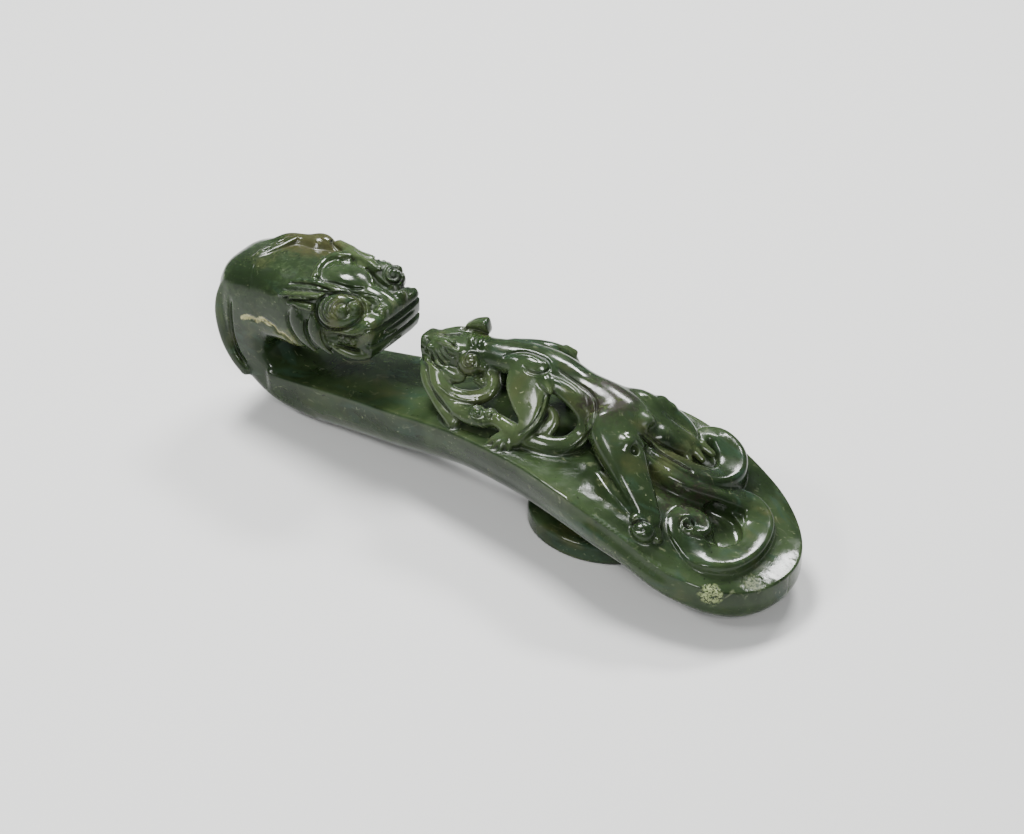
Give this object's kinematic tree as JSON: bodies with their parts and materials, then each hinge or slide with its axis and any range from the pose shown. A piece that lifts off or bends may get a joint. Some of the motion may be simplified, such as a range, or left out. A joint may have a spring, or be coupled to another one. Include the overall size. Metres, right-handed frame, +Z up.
{
  "type": "jade belt hook",
  "caption": "Carved jade belt hook: a bowed shaft whose narrow end curls back as a dragon's head, with a chilong in openwork relief on top and an oval button underneath.",
  "frame": {"origin": "centre of the button's flat outer face", "axes": "+X along the shaft towards the rounded paddle, so the dragon's head is at -X, and +Z up, out of the carved side; the button faces -Z"},
  "size_m": [0.1119, 0.0322, 0.0311],
  "materials": {
    "jade": "polished spinach-green nephrite with paler clouds and dark specks"
  },
  "bodies": {
    "root": {"belt_hook": "jade"}
  },
  "joints": []
}
